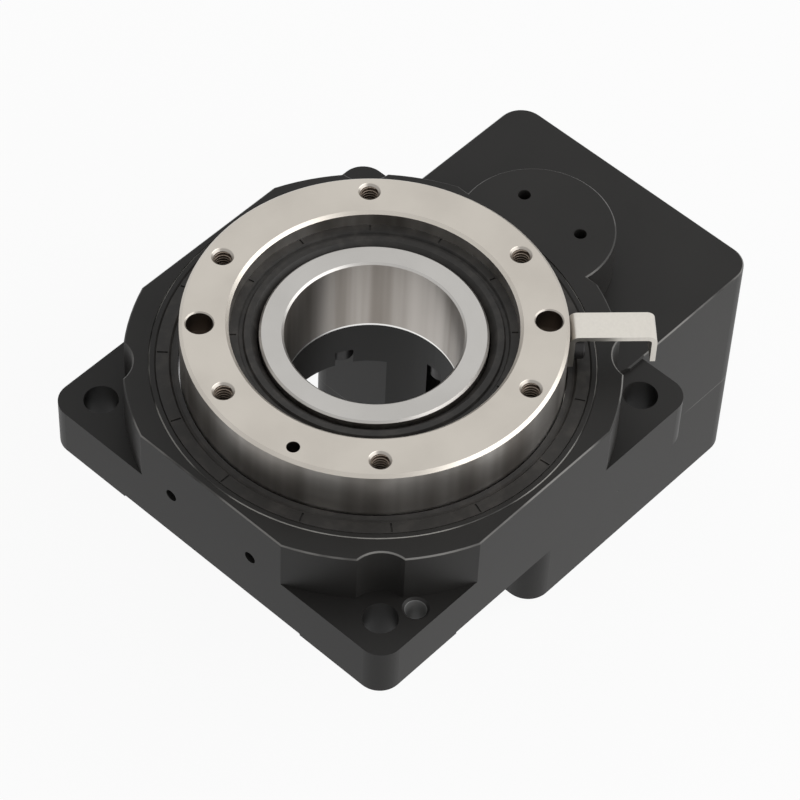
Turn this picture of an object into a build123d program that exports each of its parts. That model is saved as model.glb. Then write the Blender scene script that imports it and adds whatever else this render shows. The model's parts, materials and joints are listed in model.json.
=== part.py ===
from build123d import *
import math
import os

# Hollow rotary platform, millimetres.
# Origin: table axis at the mounting face of the base, +Z up, +X towards the motor block.

# Driving dimensions: base, deck and motor block
base_rim = 1.2
base_corner_radius = 4.5
ear_height = 11.0
deck_height = 22.5
deck_rim = 4.7
unit_height = 33.0
block_side = 60.5
block_corner_radius = 5.0
block_top = 12.0
block_seam = -20.0
block_bottom = -42.0
lobe_radius = 15.3
outer_edge_chamfer = 0.5
edge_break = 0.3
pad_side = 20.0
pad_corner_radius = 3.0
pad_relief = 0.4

# Driving dimensions: gear train
gear_module = 1.0
pinion_teeth = 15
ring_teeth = 75
pressure_angle = math.radians(20.0)
tooth_thinning = 0.05
tip_shortening = 0.1
root_clearance = 0.25
gear_face_width = 6.7
pinion_face_width = 7.0

# Driving dimensions: hollow bore and fixed sleeve
bore_radius = 16.5
sleeve_wall = 4.5
sleeve_height = 30.0
sleeve_seat = 12.0
sleeve_flange_step = 2.2
sleeve_flange_thickness = 5.0
sleeve_edge_chamfer = 0.4
housing_bore_step = 1.1

# Driving dimensions: table
inner_seal_space = 5.5
table_rim_width = 9.0
table_spigot_wall = 3.3
table_flange_bottom = 20.0
table_edge_chamfer = 0.6
table_hole_inset = 3.75
table_screw_radius = 1.65
table_screw_depth = 10.0
table_screw_start_angle = 45.0
table_pin_radius = 2.5
table_pin_depth = 5.0
table_pin_angle = 135.0
table_mark_radius = 1.25
table_mark_depth = 5.0
table_mark_angle = -163.0
table_mark_inset = 3.0

# Driving dimensions: crossed roller bearing
roller_radius = 2.0
roller_length = 3.8
roller_count = 36
outer_ring_wall = 5.0
race_gap = 0.4
inner_ring_width = 6.5
bearing_bottom = 12.5
bearing_top = 19.5

# Driving dimensions: retainer and seals
retainer_shoulder = 1.3
retainer_rim = 1.4
outer_seal_width = 3.6
retainer_lip_gap = 0.8
retainer_lip_thickness = 0.8
seal_sink = 0.2
seal_land = 1.2
seal_groove_start = 0.8
seal_groove_end = 0.3
seal_groove_depth = 0.5
seal_slit_count = 15
seal_slit_width = 0.35
seal_slit_depth = 0.25
inner_seal_bottom = 25.0
inner_seal_top = 29.6
inner_seal_rim = 1.6
inner_seal_groove = 1.2
inner_seal_slope = 0.3
inner_seal_lip_width = 1.2
inner_seal_lip_height = 1.0
inner_seal_back = 1.4
inner_seal_slit_count = 12
inner_seal_slit_length = 1.2

# Driving dimensions: pinion bearings and shaft
shaft_radius = 6.0
race_outer_radius = 12.0
race_width = 6.0
ball_radius = 1.75
ball_count = 7
ball_circle_radius = 9.0
race_shoulder_gap = 1.3
bearing_spacing = 0.6
shaft_collar_radius = 7.4
shaft_collar_length = 2.0
circlip_thickness = 1.0
circlip_groove_depth = 0.7
circlip_width = 1.9
shaft_seal_length = 4.0
shaft_seal_radius = 15.0
shaft_end_wall = 1.0

# Driving dimensions: motor coupling and motor face
motor_shaft_radius = 7.0
clamp_end_radius = 10.0
collar_radius = 19.5
collar_bottom = -38.2
collar_top = -24.0
clamp_screw_offset = 14.2
clamp_screw_seat = 4.0
clamp_screw_length = 12.0
slit_width = 1.4
slit_rise = 2.0
slit_overrun = 1.0
relief_slit_end = 15.0
pilot_wall = 5.2
pilot_depth = 3.5
motor_hole_edge = 5.5
motor_hole_radius = 1.65
motor_hole_depth = 12.0
adapter_hole_x = 15.5
adapter_hole_edge = 4.85
adapter_bore_depth = 8.0
access_hole_radius = 3.25

# Driving dimensions: fixings
mount_hole_edge = 7.0
mount_hole_radius = 3.3
mount_head_clearance_radius = 6.1
pin_hole_radius = 2.0
pin_hole_edge_x = 13.0
pin_hole_edge_y = 4.0
sensor_hole_radius = 1.25
sensor_hole_spacing = 20.0
sensor_hole_height = 11.7
sensor_hole_depth = 3.2
lobe_hole_x = 4.65
lobe_hole_y = 7.1
lobe_hole_depth = 6.0
small_screw_radius = 1.45
small_head_radius = 2.75
small_head_height = 3.0
small_socket_width = 2.5
screw_edge_break = 0.3
large_screw_radius = 1.95
large_head_radius = 3.5
large_head_height = 4.0
large_socket_width = 3.0
screw_count = 6
sleeve_screw_inset = 0.6
sleeve_screw_length = 12.0
sleeve_notch_radius = 3.4
sleeve_screw_sink = 1.0
gear_screw_inset = 1.7
gear_screw_length = 16.0
adapter_screw_length = 20.0

# Driving dimensions: sensor flag
flag_angle = -45.0
flag_width = 6.0
flag_thickness = 1.0
flag_top = 31.5
flag_reach = 51.5
flag_foot_bottom = 23.3
flag_tip_bottom = 24.7
flag_bend_radius = 1.2
flag_screw_height = 26.2
flag_screw_length = 5.0
flag_head_height = 2.0

# Clearances
running_gap = 0.02
rotor_gap = 0.8
seal_gap = 0.3
fit_gap = 0.02
thread_gap = 0.05
screw_hole_gap = 0.2
head_gap = 0.25
floor_gap = 0.5
face_gap = 0.3

# Values that follow from the driving dimensions
sleeve_radius = bore_radius + sleeve_wall
sleeve_flange_radius = sleeve_radius + sleeve_flange_step
sleeve_screw_circle_radius = sleeve_radius - sleeve_screw_inset
housing_bore_radius = bore_radius + housing_bore_step
table_bore_radius = sleeve_radius + inner_seal_space
table_radius = table_bore_radius + table_rim_width
table_hole_circle_radius = table_radius - table_hole_inset
table_mark_circle_radius = table_radius - table_mark_inset
retainer_lip_radius = table_radius + retainer_lip_gap
outer_seal_radius = retainer_lip_radius + outer_seal_width
retainer_radius = outer_seal_radius + retainer_rim
outer_ring_radius = retainer_radius - retainer_shoulder
roller_circle_radius = outer_ring_radius - outer_ring_wall
inner_ring_bore_radius = roller_circle_radius - inner_ring_width
table_spigot_bore_radius = inner_ring_bore_radius - table_spigot_wall
gear_screw_circle_radius = inner_ring_bore_radius + gear_screw_inset
deck_radius = retainer_radius + deck_rim
base_side = 2 * (retainer_radius + base_rim)
pilot_radius = block_side / 2 - pilot_wall
motor_hole_spacing = block_side - 2 * motor_hole_edge
adapter_hole_y = block_side / 2 - adapter_hole_edge
mount_hole_spacing = base_side - 2 * mount_hole_edge
pin_hole_x = base_side / 2 - pin_hole_edge_x
pin_hole_y = base_side / 2 - pin_hole_edge_y
pinion_pitch_radius = gear_module * pinion_teeth / 2
ring_pitch_radius = gear_module * ring_teeth / 2
axis_distance = pinion_pitch_radius + ring_pitch_radius
pinion_tip_radius = pinion_pitch_radius + gear_module
ring_tip_radius = ring_pitch_radius + gear_module - tip_shortening
gear_bottom = bearing_bottom - face_gap - gear_face_width
gear_top = bearing_bottom - face_gap
chamber_floor = gear_bottom - floor_gap
chamber_radius = ring_tip_radius + rotor_gap
pinion_chamber_radius = pinion_tip_radius + rotor_gap
pinion_top = gear_top
pinion_bottom = pinion_top - pinion_face_width
pinion_chamber_top = bearing_bottom + floor_gap
bearing_middle = (bearing_bottom + bearing_top) / 2
inner_ring_radius = roller_circle_radius - race_gap
outer_ring_bore_radius = roller_circle_radius + race_gap
vee_reach = (roller_radius + running_gap) * math.sqrt(2)
upper_race_top = pinion_bottom - shaft_collar_length
upper_race_bottom = upper_race_top - race_width
lower_race_top = upper_race_bottom - bearing_spacing
lower_race_bottom = lower_race_top - race_width
inner_race_radius = ball_circle_radius - race_shoulder_gap
outer_race_bore_radius = ball_circle_radius + race_shoulder_gap
clip_top = lower_race_bottom
clip_bottom = clip_top - circlip_thickness
clamp_end_top = clip_bottom - face_gap
clamp_screw_height = (collar_bottom + collar_top) / 2
sleeve_screw_seat = sleeve_screw_sink + small_head_height
gear_screw_seat = gear_bottom + small_head_height + head_gap
adapter_screw_seat = block_bottom + adapter_bore_depth
adapter_thread_depth = adapter_screw_seat + adapter_screw_length + floor_gap - block_seam
clamp_chamber_radius = collar_radius + rotor_gap

pinion_axis = (axis_distance, 0)
flag_direction = (math.cos(math.radians(flag_angle)), math.sin(math.radians(flag_angle)), 0)
flag_side = (math.sin(math.radians(flag_angle)), -math.cos(math.radians(flag_angle)), 0)

os.makedirs("parts", exist_ok=True)


def involute_angle(radius, base_radius):
    """Angle between the start of an involute and its point at a radius, in radians."""
    slope = math.sqrt(max((radius / base_radius) ** 2 - 1.0, 0.0))
    return slope - math.atan(slope)


def polar_point(radius, angle):
    """Point on a circle round the origin, with the angle in radians."""
    return (radius * math.cos(angle), radius * math.sin(angle))


def flank_points(teeth, tip_radius, root_radius, centre_angle, side):
    """Points of one involute flank from its foot to its tip, on one side of a tooth."""
    pitch_radius = gear_module * teeth / 2
    base_radius = pitch_radius * math.cos(pressure_angle)
    thickness = math.pi * gear_module / 2 - 2 * tooth_thinning
    pitch_half_angle = thickness / (2 * pitch_radius) + involute_angle(pitch_radius, base_radius)
    start_radius = max(base_radius, root_radius)
    points = []
    for step in range(4):
        radius = start_radius + (tip_radius - start_radius) * step / 3
        half_angle = pitch_half_angle - involute_angle(radius, base_radius)
        points.append(polar_point(radius, centre_angle + side * half_angle))
    return points


def draw_gear_outline(teeth, tip_radius):
    """Draws the closed outline of a spur gear in the active line builder, one tooth at angle 0."""
    pitch_radius = gear_module * teeth / 2
    root_radius = pitch_radius - gear_module - root_clearance
    pitch_angle = 2 * math.pi / teeth
    for index in range(teeth):
        centre = index * pitch_angle
        rising = flank_points(teeth, tip_radius, root_radius, centre, -1)
        falling = flank_points(teeth, tip_radius, root_radius, centre, 1)
        next_rising = flank_points(teeth, tip_radius, root_radius, centre + pitch_angle, -1)
        foot_angle = math.atan2(falling[0][1], falling[0][0])
        next_foot_angle = math.atan2(next_rising[0][1], next_rising[0][0])
        foot = polar_point(root_radius, foot_angle)
        next_foot = polar_point(root_radius, next_foot_angle)
        Spline(*rising)
        ThreePointArc(rising[-1], polar_point(tip_radius, centre), falling[-1])
        Spline(*falling)
        if math.dist(foot, falling[0]) > running_gap:
            Line(falling[0], foot)
            Line(next_foot, next_rising[0])
        ThreePointArc(foot, polar_point(root_radius, centre + pitch_angle / 2), next_foot)


def make_socket_screw(shank_radius, shank_length, head_radius, head_height, socket_width):
    """One socket screw: its seat at the origin, shank along +Z, head along -Z."""
    with BuildPart() as screw:
        with BuildSketch():
            Circle(head_radius)
        extrude(amount=-head_height)
        chamfer(screw.faces().sort_by(Axis.Z)[0].edges(), screw_edge_break)
        with BuildSketch():
            Circle(shank_radius)
        extrude(amount=shank_length)
        with BuildSketch(Plane.XY.offset(-head_height)):
            RegularPolygon(socket_width / 2, 6, major_radius=False)
        extrude(amount=head_height / 2, mode=Mode.SUBTRACT)
    return screw.part


def draw_ring_section(inner_radius, outer_radius, bottom, top):
    """Draws the right half of a plain ring's section in the active sketch on the XZ plane."""
    with Locations(((inner_radius + outer_radius) / 2, (bottom + top) / 2)):
        Rectangle(outer_radius - inner_radius, top - bottom)


def finish(part, name):
    """Names a finished piece and writes it."""
    part.label = name
    export_step(part, f"parts/{name}.step")


# Housing: base plate, deck, lobe and block in one casting, then its chambers and holes
with BuildPart() as housing:
    with BuildSketch(Plane.XY.offset(block_seam)):
        with Locations(pinion_axis):
            RectangleRounded(block_side, block_side, block_corner_radius)
    extrude(amount=block_top - block_seam)
    chamfer(housing.faces().sort_by(Axis.Z)[-1].edges(), edge_break)
    with BuildSketch():
        RectangleRounded(base_side, base_side, base_corner_radius)
    extrude(amount=ear_height)
    with BuildSketch(Plane.XY.offset(ear_height)):
        Circle(deck_radius)
        Rectangle(base_side, base_side, mode=Mode.INTERSECT)
    extrude(amount=deck_height - ear_height)
    with BuildSketch(Plane.XY.offset(block_top)):
        with Locations(pinion_axis):
            Circle(lobe_radius)
    extrude(amount=deck_height - block_top)
    # Bare pads stand proud of the base's field at the four corners
    with BuildSketch():
        Rectangle(base_side, base_side)
        pad_reach = base_side / 2
        with GridLocations(2 * pad_reach, 2 * pad_reach, 2, 2):
            RectangleRounded(2 * pad_side, 2 * pad_side, pad_corner_radius, mode=Mode.SUBTRACT)
        with Locations(pinion_axis):
            RectangleRounded(block_side, block_side, block_corner_radius, mode=Mode.SUBTRACT)
    extrude(amount=pad_relief, mode=Mode.SUBTRACT)
    # Bearing seat, gear chamber and bore, all round the table axis
    with BuildSketch(Plane.XZ):
        draw_ring_section(0, retainer_radius, bearing_top, deck_height)
        draw_ring_section(0, outer_ring_radius, bearing_bottom, bearing_top)
        draw_ring_section(0, chamber_radius, sleeve_seat, bearing_bottom)
        draw_ring_section(sleeve_flange_radius, chamber_radius, chamber_floor, sleeve_seat)
        draw_ring_section(0, housing_bore_radius, block_seam, sleeve_seat)
    revolve(axis=Axis.Z, mode=Mode.SUBTRACT)
    # Pinion chamber and the bore for the pinion's bearings
    with BuildSketch(Plane.XY.offset(upper_race_top)):
        with Locations(pinion_axis):
            Circle(pinion_chamber_radius)
    extrude(amount=pinion_chamber_top - upper_race_top, mode=Mode.SUBTRACT)
    with BuildSketch(Plane.XY.offset(block_seam)):
        with Locations(pinion_axis):
            Circle(race_outer_radius)
    extrude(amount=upper_race_top - block_seam, mode=Mode.SUBTRACT)
    with BuildSketch(Plane.XY.offset(clip_bottom)):
        with Locations(pinion_axis):
            Circle(race_outer_radius + circlip_groove_depth)
    extrude(amount=circlip_thickness, mode=Mode.SUBTRACT)
    with BuildSketch(Plane.XY.offset(block_seam)):
        with Locations(pinion_axis):
            Circle(shaft_seal_radius)
    extrude(amount=shaft_seal_length + floor_gap, mode=Mode.SUBTRACT)
    # Scalloped notches and holes for the sleeve's screws, open to the bore
    with BuildSketch(Plane.XY.offset(block_seam)):
        with PolarLocations(sleeve_screw_circle_radius, screw_count):
            Circle(sleeve_notch_radius)
    extrude(amount=sleeve_screw_seat - block_seam, mode=Mode.SUBTRACT)
    with BuildSketch():
        with PolarLocations(sleeve_screw_circle_radius, screw_count):
            Circle(small_screw_radius + screw_hole_gap)
    extrude(amount=sleeve_seat, mode=Mode.SUBTRACT)
    # Mounting holes in the ears, each with room for its screw's head beside the deck
    with BuildSketch(Plane.XY.offset(ear_height)):
        with GridLocations(mount_hole_spacing, mount_hole_spacing, 2, 2):
            Circle(mount_head_clearance_radius)
    extrude(amount=deck_height - ear_height, mode=Mode.SUBTRACT)
    # Broken edge round the deck's top
    deck_top = housing.faces().filter_by(Axis.Z).sort_by(Axis.Z)[-1]
    chamfer(deck_top.outer_wire().edges(), edge_break)
    with Locations(Plane.XY.offset(ear_height)):
        with GridLocations(mount_hole_spacing, mount_hole_spacing, 2, 2):
            Hole(mount_hole_radius, depth=ear_height)
        with Locations((pin_hole_x, pin_hole_y), (-pin_hole_x, -pin_hole_y)):
            CounterSinkHole(
                pin_hole_radius,
                pin_hole_radius + outer_edge_chamfer,
                depth=ear_height,
                counter_sink_angle=90,
            )
    # Sensor bracket holes in the far side and on the lobe
    with Locations(Plane((-base_side / 2, 0, sensor_hole_height), x_dir=(0, 1, 0), z_dir=(-1, 0, 0))):
        with GridLocations(sensor_hole_spacing, 0, 2, 1):
            Hole(sensor_hole_radius, depth=sensor_hole_depth)
    with Locations(Plane((axis_distance + lobe_hole_x, 0, deck_height))):
        with GridLocations(0, 2 * lobe_hole_y, 1, 2):
            Hole(sensor_hole_radius, depth=lobe_hole_depth)
    # Threaded holes for the adapter's screws, from the seam
    with Locations(Plane((axis_distance, 0, block_seam), x_dir=(1, 0, 0), z_dir=(0, 0, -1))):
        with GridLocations(2 * adapter_hole_x, 2 * adapter_hole_y, 2, 2):
            Hole(large_screw_radius + thread_gap, depth=adapter_thread_depth)
finish(housing.part, "housing")

# Motor adapter: lower layer of the block, with the motor's face, pilot and screw holes
with BuildPart() as motor_adapter:
    with BuildSketch(Plane.XY.offset(block_bottom)):
        with Locations(pinion_axis):
            RectangleRounded(block_side, block_side, block_corner_radius)
    extrude(amount=block_seam - block_bottom)
    chamfer(motor_adapter.faces().sort_by(Axis.Z)[0].edges(), outer_edge_chamfer)
    with BuildSketch(Plane.XY.offset(block_bottom)):
        with Locations(pinion_axis):
            Circle(pilot_radius)
    extrude(amount=pilot_depth, mode=Mode.SUBTRACT)
    with BuildSketch(Plane.XY.offset(block_bottom + pilot_depth)):
        with Locations(pinion_axis):
            Circle(clamp_chamber_radius)
    extrude(amount=block_seam - block_bottom - pilot_depth, mode=Mode.SUBTRACT)
    with BuildSketch(Plane.XY.offset(block_bottom)):
        Circle(housing_bore_radius)
    extrude(amount=block_seam - block_bottom, mode=Mode.SUBTRACT)
    with Locations(Plane((axis_distance, 0, block_bottom), x_dir=(1, 0, 0), z_dir=(0, 0, -1))):
        with GridLocations(motor_hole_spacing, motor_hole_spacing, 2, 2):
            CounterSinkHole(
                motor_hole_radius,
                motor_hole_radius + outer_edge_chamfer,
                depth=motor_hole_depth,
                counter_sink_angle=90,
            )
        with GridLocations(2 * adapter_hole_x, 2 * adapter_hole_y, 2, 2):
            CounterBoreHole(
                large_screw_radius + screw_hole_gap,
                large_head_radius + head_gap / 2,
                adapter_bore_depth,
                depth=block_seam - block_bottom,
            )
    access_plane = Plane(
        (axis_distance - block_side / 2, clamp_screw_offset, clamp_screw_height),
        x_dir=(0, 1, 0),
        z_dir=(-1, 0, 0),
    )
    with Locations(access_plane):
        Hole(access_hole_radius, depth=block_side / 2 - clamp_screw_offset)
finish(motor_adapter.part, "motor_adapter")

# Fixed sleeve round the hollow bore, flanged at its foot
with BuildPart() as fixed_sleeve:
    with BuildSketch(Plane.XZ):
        draw_ring_section(bore_radius, sleeve_radius, sleeve_seat, sleeve_height)
        draw_ring_section(
            bore_radius,
            sleeve_flange_radius,
            sleeve_seat,
            sleeve_seat + sleeve_flange_thickness,
        )
    revolve(axis=Axis.Z)
    rims = fixed_sleeve.edges().filter_by(GeomType.CIRCLE).group_by(Axis.Z)
    chamfer(rims[-1] + rims[0].sort_by(SortBy.RADIUS)[:1], sleeve_edge_chamfer)
    with Locations(Plane((0, 0, sleeve_seat), x_dir=(1, 0, 0), z_dir=(0, 0, -1))):
        with PolarLocations(sleeve_screw_circle_radius, screw_count):
            Hole(small_screw_radius + thread_gap, depth=sleeve_flange_thickness - screw_hole_gap)
finish(fixed_sleeve.part, "fixed_sleeve")

# Screws that hold the sleeve's flange to the housing from below
sleeve_screw = make_socket_screw(
    small_screw_radius, sleeve_screw_length, small_head_radius, small_head_height, small_socket_width
)
with BuildPart() as sleeve_screws:
    with Locations(Plane.XY.offset(sleeve_screw_seat)):
        with PolarLocations(sleeve_screw_circle_radius, screw_count):
            add(sleeve_screw)
finish(sleeve_screws.part, "sleeve_screws")

# Split outer ring of the crossed roller bearing, each half with one face of the vee
with BuildPart() as outer_ring_lower:
    with BuildSketch(Plane.XZ):
        draw_ring_section(outer_ring_bore_radius, outer_ring_radius, bearing_bottom, bearing_middle)
        with BuildLine():
            Polyline(
                (roller_circle_radius, bearing_middle - vee_reach),
                (roller_circle_radius + vee_reach, bearing_middle),
                (roller_circle_radius, bearing_middle),
                close=True,
            )
        make_face(mode=Mode.SUBTRACT)
    revolve(axis=Axis.Z)
finish(outer_ring_lower.part, "outer_ring_lower")

with BuildPart() as outer_ring_upper:
    add(outer_ring_lower.part.mirror(Plane.XY.offset(bearing_middle)))
finish(outer_ring_upper.part, "outer_ring_upper")

# Inner ring of the crossed roller bearing, with a full vee and holes for the gear's screws
with BuildPart() as bearing_inner_ring:
    with BuildSketch(Plane.XZ):
        draw_ring_section(inner_ring_bore_radius, inner_ring_radius, gear_top, table_flange_bottom)
        with BuildLine():
            Polyline(
                (roller_circle_radius, bearing_middle - vee_reach),
                (roller_circle_radius - vee_reach, bearing_middle),
                (roller_circle_radius, bearing_middle + vee_reach),
                close=True,
            )
        make_face(mode=Mode.SUBTRACT)
    revolve(axis=Axis.Z)
    with BuildSketch(Plane.XY.offset(gear_top)):
        with PolarLocations(gear_screw_circle_radius, screw_count):
            Circle(small_screw_radius + thread_gap)
    extrude(amount=table_flange_bottom - gear_top, mode=Mode.SUBTRACT)
finish(bearing_inner_ring.part, "bearing_inner_ring")

# Crossed rollers, every second one tilted the other way
with BuildPart() as bearing_rollers:
    for start_index, tilt in ((0, 45), (1, -45)):
        with Locations(Plane.XY.offset(bearing_middle)):
            with PolarLocations(roller_circle_radius, roller_count // 2, start_index * 360 / roller_count):
                Cylinder(roller_radius, roller_length, rotation=(0, tilt, 0))
finish(bearing_rollers.part, "bearing_rollers")

# Retainer ring that clamps the bearing, with a recess for the outer seal
with BuildPart() as retainer_ring:
    with BuildSketch(Plane.XZ):
        draw_ring_section(outer_seal_radius, retainer_radius, bearing_top, deck_height)
        draw_ring_section(
            retainer_lip_radius,
            retainer_radius,
            bearing_top,
            bearing_top + retainer_lip_thickness,
        )
    revolve(axis=Axis.Z)
    chamfer(retainer_ring.edges().filter_by(GeomType.CIRCLE).group_by(Axis.Z)[-1], seal_gap)
finish(retainer_ring.part, "retainer_ring")

# Outer seal between retainer and table, with a groove behind its lip and short slits round it
outer_seal_bottom = bearing_top + retainer_lip_thickness
outer_seal_top = deck_height - seal_sink
with BuildPart() as outer_seal:
    with BuildSketch(Plane.XZ):
        with BuildLine():
            Polyline(
                (retainer_lip_radius, outer_seal_bottom),
                (outer_seal_radius, outer_seal_bottom),
                (outer_seal_radius, outer_seal_top),
                (retainer_lip_radius + seal_land, outer_seal_top),
                (retainer_lip_radius + seal_groove_start, outer_seal_top - seal_groove_depth),
                (retainer_lip_radius + seal_groove_end, outer_seal_top - seal_groove_depth),
                (table_radius + seal_gap, outer_seal_top - seal_gap),
                (table_radius + seal_gap, outer_seal_bottom + seal_groove_depth),
                close=True,
            )
        make_face()
    revolve(axis=Axis.Z)
    slit_start = retainer_lip_radius + seal_land + seal_sink
    slit_end = outer_seal_radius - seal_sink
    with BuildSketch(Plane.XY.offset(outer_seal_top)):
        with PolarLocations((slit_start + slit_end) / 2, seal_slit_count, 180 / seal_slit_count):
            Rectangle(slit_end - slit_start, seal_slit_width)
    extrude(amount=-seal_slit_depth, mode=Mode.SUBTRACT)
finish(outer_seal.part, "outer_seal")

# Table ring with its spigot, threaded holes, two larger holes and one small one
with BuildPart() as table_ring:
    with BuildSketch(Plane.XZ):
        draw_ring_section(table_bore_radius, table_radius, table_flange_bottom, unit_height)
        draw_ring_section(
            table_spigot_bore_radius,
            inner_ring_bore_radius - fit_gap,
            gear_top,
            inner_seal_bottom,
        )
        draw_ring_section(table_spigot_bore_radius, table_radius, table_flange_bottom, inner_seal_bottom)
    revolve(axis=Axis.Z)
    chamfer(table_ring.edges().filter_by(GeomType.CIRCLE).group_by(Axis.Z)[-1], table_edge_chamfer)
    with Locations(Plane.XY.offset(unit_height)):
        with PolarLocations(table_hole_circle_radius, screw_count, table_screw_start_angle):
            CounterSinkHole(
                table_screw_radius,
                table_screw_radius + outer_edge_chamfer,
                depth=table_screw_depth,
                counter_sink_angle=90,
            )
        with PolarLocations(table_hole_circle_radius, 2, table_pin_angle):
            CounterSinkHole(
                table_pin_radius,
                table_pin_radius + outer_edge_chamfer / 2,
                depth=table_pin_depth,
                counter_sink_angle=90,
            )
        with PolarLocations(table_mark_circle_radius, 1, table_mark_angle):
            Hole(table_mark_radius, depth=table_mark_depth)
    with BuildSketch(Plane.XY.offset(table_flange_bottom)):
        with PolarLocations(gear_screw_circle_radius, screw_count):
            Circle(small_screw_radius + thread_gap)
    extrude(amount=gear_screw_seat + gear_screw_length + floor_gap - table_flange_bottom, mode=Mode.SUBTRACT)
    flag_screw_plane = Plane(
        (flag_direction[0] * table_radius, flag_direction[1] * table_radius, flag_screw_height),
        x_dir=flag_side,
        z_dir=flag_direction,
    )
    with Locations(flag_screw_plane):
        Hole(small_screw_radius + thread_gap, depth=flag_screw_length)
finish(table_ring.part, "table_ring")

# Ring gear under the inner ring, with sunk screw heads on its lower face
with BuildPart() as ring_gear:
    with BuildSketch(Plane.XY.offset(gear_bottom)):
        with BuildLine():
            draw_gear_outline(ring_teeth, ring_tip_radius)
        make_face()
        Circle(sleeve_flange_radius + rotor_gap, mode=Mode.SUBTRACT)
    extrude(amount=gear_face_width)
    with Locations(Plane((0, 0, gear_bottom), x_dir=(1, 0, 0), z_dir=(0, 0, -1))):
        with PolarLocations(gear_screw_circle_radius, screw_count):
            CounterBoreHole(
                small_screw_radius + screw_hole_gap,
                small_head_radius + head_gap,
                small_head_height + head_gap,
                depth=gear_face_width,
            )
finish(ring_gear.part, "ring_gear")

# Screws through gear and inner ring into the table
gear_screw = make_socket_screw(
    small_screw_radius, gear_screw_length, small_head_radius, small_head_height, small_socket_width
)
with BuildPart() as gear_screws:
    with Locations(Plane.XY.offset(gear_screw_seat)):
        with PolarLocations(gear_screw_circle_radius, screw_count):
            add(gear_screw)
finish(gear_screws.part, "gear_screws")

# Inner seal pressed into the table, its lip round the fixed sleeve
inner_lip_radius = sleeve_radius + seal_gap
lip_top = inner_seal_top - inner_seal_lip_width
groove_outer = table_bore_radius - inner_seal_rim
groove_inner = groove_outer - inner_seal_groove
with BuildPart() as inner_seal:
    with BuildSketch(Plane.XZ):
        with BuildLine():
            Polyline(
                (inner_lip_radius + inner_seal_back, inner_seal_bottom),
                (table_bore_radius, inner_seal_bottom),
                (table_bore_radius, inner_seal_top),
                (groove_outer, inner_seal_top),
                (groove_outer - inner_seal_slope, inner_seal_top - seal_groove_depth),
                (groove_inner + inner_seal_slope, inner_seal_top - seal_groove_depth),
                (groove_inner, inner_seal_top),
                (inner_lip_radius + inner_seal_lip_width, inner_seal_top),
                (inner_lip_radius, lip_top),
                (inner_lip_radius, lip_top - inner_seal_lip_height),
                (inner_lip_radius + inner_seal_back, lip_top - 2 * inner_seal_lip_height),
                close=True,
            )
        make_face()
    revolve(axis=Axis.Z)
    with BuildSketch(Plane.XY.offset(inner_seal_top)):
        with PolarLocations(
            table_bore_radius - inner_seal_rim / 2, inner_seal_slit_count, 180 / inner_seal_slit_count
        ):
            Rectangle(inner_seal_slit_length, seal_slit_width)
    extrude(amount=-seal_slit_depth, mode=Mode.SUBTRACT)
finish(inner_seal.part, "inner_seal")

# Sensor flag: one bent strip with a foot on the table's side and a tip that points down
flag_plane = Plane((0, 0, 0), x_dir=flag_direction, z_dir=flag_side)
foot_radius = table_radius + flag_thickness / 2
tip_radius = flag_reach - flag_thickness / 2
with BuildPart() as sensor_flag:
    with BuildSketch(flag_plane):
        with BuildLine() as flag_path:
            Polyline(
                (foot_radius, flag_foot_bottom),
                (foot_radius, flag_top - flag_thickness / 2),
                (tip_radius, flag_top - flag_thickness / 2),
                (tip_radius, flag_tip_bottom),
            )
            bends = flag_path.vertices().sort_by(Axis((0, 0, 0), (0, 1, 0)))[-2:]
            fillet(bends, flag_bend_radius)
        trace(line_width=flag_thickness)
    extrude(amount=flag_width / 2, both=True)
    with Locations(Plane(flag_screw_plane.origin + flag_screw_plane.z_dir * flag_thickness,
                         x_dir=flag_side, z_dir=flag_direction)):
        Hole(small_screw_radius + screw_hole_gap, depth=2 * flag_thickness)
finish(sensor_flag.part, "sensor_flag")

# Screw that holds the flag to the table's side
flag_screw_piece = make_socket_screw(
    small_screw_radius, flag_screw_length, small_head_radius, flag_head_height, small_socket_width
)
with BuildPart() as flag_screw:
    with Locations(Plane(flag_screw_plane.origin + flag_screw_plane.z_dir * flag_thickness,
                         x_dir=flag_side, z_dir=-flag_screw_plane.z_dir)):
        add(flag_screw_piece)
finish(flag_screw.part, "flag_screw")

# Pinion shaft: pinion, collar, journal and the slotted hollow end for the motor shaft
with BuildPart() as pinion_shaft:
    with BuildSketch(Plane.XY.offset(pinion_bottom)):
        with BuildLine():
            draw_gear_outline(pinion_teeth, pinion_tip_radius)
        make_face()
    extrude(amount=pinion_face_width)
    with BuildSketch(Plane.XZ):
        draw_ring_section(0, shaft_collar_radius, upper_race_top, pinion_bottom)
        draw_ring_section(0, shaft_radius, clamp_end_top, upper_race_top)
        draw_ring_section(0, clamp_end_radius, collar_bottom, clamp_end_top)
    revolve(axis=Axis.Z)
    with BuildSketch(Plane.XZ):
        draw_ring_section(shaft_radius - circlip_groove_depth, shaft_radius, clip_bottom, clip_top)
        draw_ring_section(0, motor_shaft_radius, collar_bottom, clamp_end_top - shaft_end_wall)
    revolve(axis=Axis.Z, mode=Mode.SUBTRACT)
    with BuildSketch(Plane.XY.offset(collar_bottom)):
        Rectangle(slit_width, 2 * clamp_end_radius)
    extrude(amount=collar_top - collar_bottom + slit_rise, mode=Mode.SUBTRACT)
pinion_piece = pinion_shaft.part.moved(Location((axis_distance, 0, 0)))
finish(pinion_piece, "pinion_shaft")

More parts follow.
